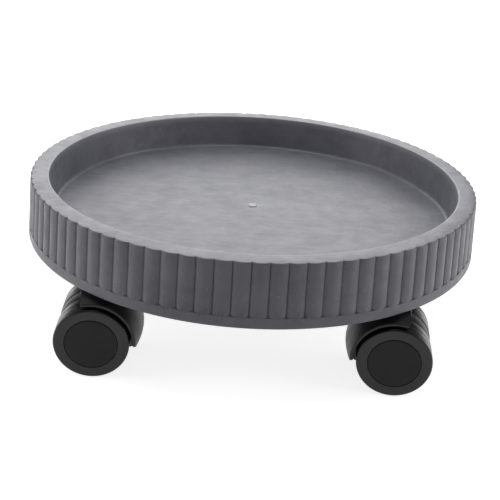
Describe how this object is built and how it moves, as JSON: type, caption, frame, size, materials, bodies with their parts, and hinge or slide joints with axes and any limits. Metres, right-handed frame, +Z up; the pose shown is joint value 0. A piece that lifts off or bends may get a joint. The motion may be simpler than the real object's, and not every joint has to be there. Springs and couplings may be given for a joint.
{
  "type": "plant pot caddy",
  "caption": "Round wheeled plant pot caddy: a shallow fluted plastic tray with a flat floor, on twin-wheel swivel casters.",
  "frame": {"origin": "on the floor, under the middle of the tray", "axes": "+Z up; -Y towards the front, between the two front casters; +X to the right seen from the front"},
  "size_m": [0.305, 0.305, 0.092],
  "materials": {
    "tray_plastic": "moulded, fine matte grain",
    "hood_plastic": "moulded nylon, satin",
    "wheel_plastic": "moulded nylon, satin tread",
    "cap_plastic": "moulded, fine matte",
    "stem_steel": "zinc plated, turned"
  },
  "bodies": {
    "tray": {"tray": "tray_plastic", "front_left_socket": "stem_steel", "front_left_stem": "stem_steel", "front_left_grip_ring": "stem_steel", "front_right_socket": "stem_steel", "front_right_stem": "stem_steel", "front_right_grip_ring": "stem_steel", "side_left_socket": "stem_steel", "side_left_stem": "stem_steel", "side_left_grip_ring": "stem_steel", "side_right_socket": "stem_steel", "side_right_stem": "stem_steel", "side_right_grip_ring": "stem_steel", "rear_socket": "stem_steel", "rear_stem": "stem_steel", "rear_grip_ring": "stem_steel"},
    "front_left_caster": {"front_left_hood": "hood_plastic", "front_left_axle": "stem_steel"},
    "front_left_left_roller": {"front_left_left_wheel": "wheel_plastic", "front_left_left_cap": "cap_plastic"},
    "front_left_right_roller": {"front_left_right_wheel": "wheel_plastic", "front_left_right_cap": "cap_plastic"},
    "front_right_caster": {"front_right_hood": "hood_plastic", "front_right_axle": "stem_steel"},
    "front_right_left_roller": {"front_right_left_wheel": "wheel_plastic", "front_right_left_cap": "cap_plastic"},
    "front_right_right_roller": {"front_right_right_wheel": "wheel_plastic", "front_right_right_cap": "cap_plastic"},
    "side_left_caster": {"side_left_hood": "hood_plastic", "side_left_axle": "stem_steel"},
    "side_left_left_roller": {"side_left_left_wheel": "wheel_plastic", "side_left_left_cap": "cap_plastic"},
    "side_left_right_roller": {"side_left_right_wheel": "wheel_plastic", "side_left_right_cap": "cap_plastic"},
    "side_right_caster": {"side_right_hood": "hood_plastic", "side_right_axle": "stem_steel"},
    "side_right_left_roller": {"side_right_left_wheel": "wheel_plastic", "side_right_left_cap": "cap_plastic"},
    "side_right_right_roller": {"side_right_right_wheel": "wheel_plastic", "side_right_right_cap": "cap_plastic"},
    "rear_caster": {"rear_hood": "hood_plastic", "rear_axle": "stem_steel"},
    "rear_left_roller": {"rear_left_wheel": "wheel_plastic", "rear_left_cap": "cap_plastic"},
    "rear_right_roller": {"rear_right_wheel": "wheel_plastic", "rear_right_cap": "cap_plastic"}
  },
  "joints": [
    {"name": "front_left_swivel", "type": "hinge", "parent": "tray", "child": "front_left_caster", "pos_m": [-0.07571, -0.1042, 0.0405], "axis": [0, 0, 1], "continuous": true},
    {"name": "front_left_left_wheel_spin", "type": "hinge", "parent": "front_left_caster", "child": "front_left_left_roller", "pos_m": [-0.09119, -0.10501, 0.0225], "axis": [0.0523, -0.9986, 0], "continuous": true},
    {"name": "front_left_right_wheel_spin", "type": "hinge", "parent": "front_left_caster", "child": "front_left_right_roller", "pos_m": [-0.09119, -0.10501, 0.0225], "axis": [0.0523, -0.9986, 0], "continuous": true},
    {"name": "front_right_swivel", "type": "hinge", "parent": "tray", "child": "front_right_caster", "pos_m": [0.07571, -0.1042, 0.0405], "axis": [0, 0, 1], "continuous": true},
    {"name": "front_right_left_wheel_spin", "type": "hinge", "parent": "front_right_caster", "child": "front_right_left_roller", "pos_m": [0.09114, -0.10563, 0.0225], "axis": [0.0924, 0.9957, 0], "continuous": true},
    {"name": "front_right_right_wheel_spin", "type": "hinge", "parent": "front_right_caster", "child": "front_right_right_roller", "pos_m": [0.09114, -0.10563, 0.0225], "axis": [0.0924, 0.9957, 0], "continuous": true},
    {"name": "side_left_swivel", "type": "hinge", "parent": "tray", "child": "side_left_caster", "pos_m": [-0.1225, 0.0398, 0.0405], "axis": [0, 0, 1], "continuous": true},
    {"name": "side_left_left_wheel_spin", "type": "hinge", "parent": "side_left_caster", "child": "side_left_left_roller", "pos_m": [-0.1198, 0.05507, 0.0225], "axis": [-0.9848, 0.1736, 0], "continuous": true},
    {"name": "side_left_right_wheel_spin", "type": "hinge", "parent": "side_left_caster", "child": "side_left_right_roller", "pos_m": [-0.1198, 0.05507, 0.0225], "axis": [-0.9848, 0.1736, 0], "continuous": true},
    {"name": "side_right_swivel", "type": "hinge", "parent": "tray", "child": "side_right_caster", "pos_m": [0.1225, 0.0398, 0.0405], "axis": [0, 0, 1], "continuous": true},
    {"name": "side_right_left_wheel_spin", "type": "hinge", "parent": "side_right_caster", "child": "side_right_left_roller", "pos_m": [0.11669, 0.05417, 0.0225], "axis": [-0.9272, -0.3746, 0], "continuous": true},
    {"name": "side_right_right_wheel_spin", "type": "hinge", "parent": "side_right_caster", "child": "side_right_right_roller", "pos_m": [0.11669, 0.05417, 0.0225], "axis": [-0.9272, -0.3746, 0], "continuous": true},
    {"name": "rear_swivel", "type": "hinge", "parent": "tray", "child": "rear_caster", "pos_m": [0, 0.1288, 0.0405], "axis": [0, 0, 1], "continuous": true},
    {"name": "rear_left_wheel_spin", "type": "hinge", "parent": "rear_caster", "child": "rear_left_roller", "pos_m": [-0.01535, 0.12664, 0.0225], "axis": [0.1392, -0.9903, 0], "continuous": true},
    {"name": "rear_right_wheel_spin", "type": "hinge", "parent": "rear_caster", "child": "rear_right_roller", "pos_m": [-0.01535, 0.12664, 0.0225], "axis": [0.1392, -0.9903, 0], "continuous": true}
  ]
}
